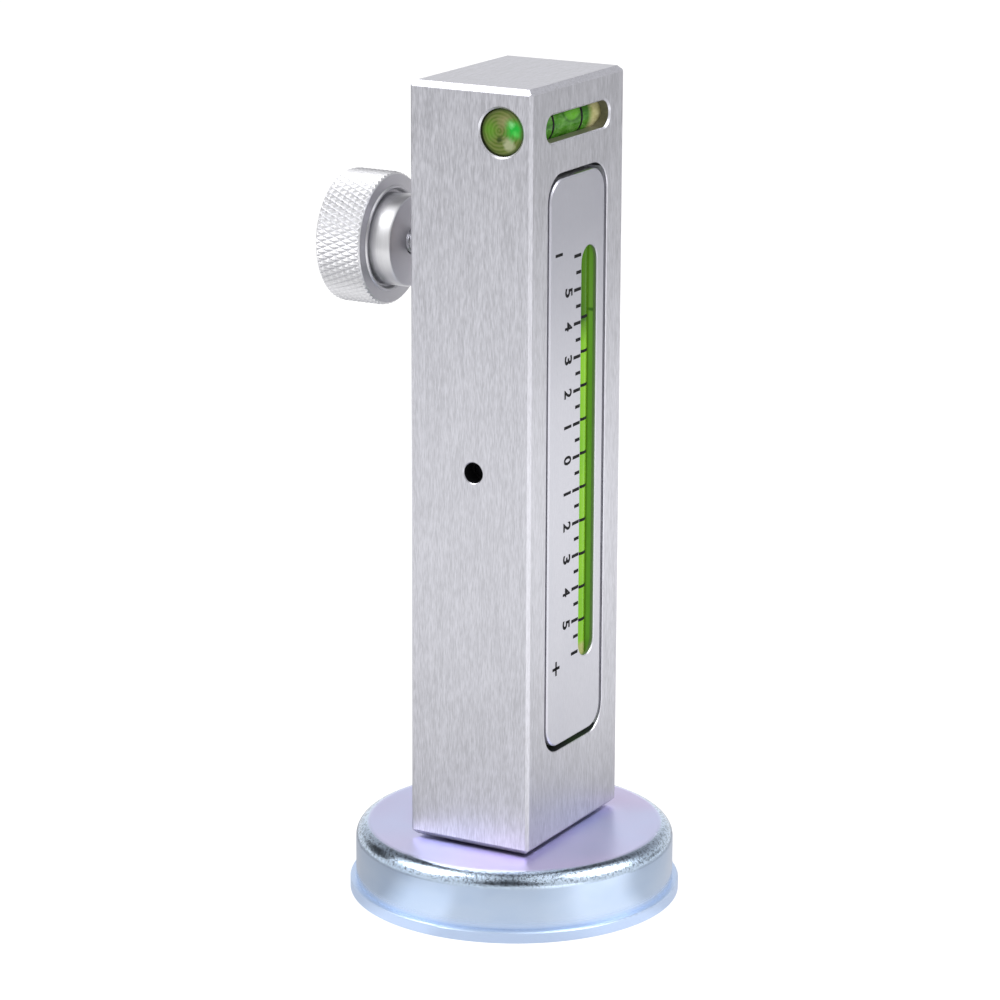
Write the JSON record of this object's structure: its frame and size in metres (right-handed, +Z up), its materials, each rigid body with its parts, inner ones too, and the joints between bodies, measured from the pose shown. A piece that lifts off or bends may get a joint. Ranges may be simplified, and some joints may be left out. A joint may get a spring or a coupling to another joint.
{
  "type": "camber caster gauge",
  "caption": "Upright bevelled bar on a round magnet foot, with green spirit vials behind windows for camber, caster and cross level, and a knurled knob that trims the caster vial.",
  "frame": {"origin": "centre of the magnet's underside, on the axis of the foot", "axes": "+Z up along the bar, +X out of the camber scale's face, -Y out of the face with the round window"},
  "size_m": [0.0591, 0.055, 0.1372],
  "materials": {
    "zinc_plated_steel": "satin",
    "ferrite": "matte",
    "potting_resin": "matte",
    "dark_steel": "satin",
    "black_steel": "matte",
    "bright_steel": "satin",
    "spring_steel": "satin",
    "brushed_bar": "satin",
    "scale_plate": "satin",
    "milled_bed": "satin",
    "knurled_metal": "satin",
    "bush_brass": "satin",
    "vial_tube": "gloss",
    "vial_fluid": "gloss",
    "vial_plug": "satin"
  },
  "bodies": {
    "gauge": {"base_cup": "zinc_plated_steel", "ring_magnet": "ferrite", "magnet_potting": "potting_resin", "base_screw": "dark_steel", "lock_washer": "dark_steel", "base_shim": "dark_steel", "housing": "brushed_bar", "camber_bed": "milled_bed", "bed_screws": "dark_steel", "camber_plate": "scale_plate", "camber_vial": "vial_tube", "camber_fluid": "vial_fluid", "camber_plugs": "vial_plug", "level_vial": "vial_tube", "level_fluid": "vial_fluid", "level_plugs": "vial_plug", "pivot_pin": "black_steel", "return_spring": "spring_steel", "adjuster_bush": "bush_brass"},
    "caster_rocker": {"rocker": "milled_bed", "caster_vial": "vial_tube", "caster_fluid": "vial_fluid", "caster_plugs": "vial_plug"},
    "adjuster_nose": {"thrust_pad": "bush_brass"},
    "adjuster_knob": {"knob": "knurled_metal", "adjuster_screw": "bright_steel"}
  },
  "joints": [
    {"name": "adjuster_travel", "type": "slide", "parent": "gauge", "child": "adjuster_nose", "axis": [1, 0, 0], "range_m": [-0.0018, 0.0018]},
    {"name": "knob_turn", "type": "hinge", "parent": "adjuster_nose", "child": "adjuster_knob", "pos_m": [-0.0233, 0, 0.10795], "axis": [1, 0, 0], "range_deg": [-900, 900]},
    {"name": "caster_tilt", "type": "hinge", "parent": "gauge", "child": "caster_rocker", "pos_m": [0.00065, 0, 0.07483], "axis": [0, 1, 0], "range_deg": [-3.04, 3.04], "deforming": ["return_spring"]}
  ],
  "couplings": [
    {"joint": "adjuster_travel", "follows": "knob_turn", "m_per_rad": 0.00011141},
    {"joint": "caster_tilt", "follows": "knob_turn", "ratio": 0.0033633}
  ]
}
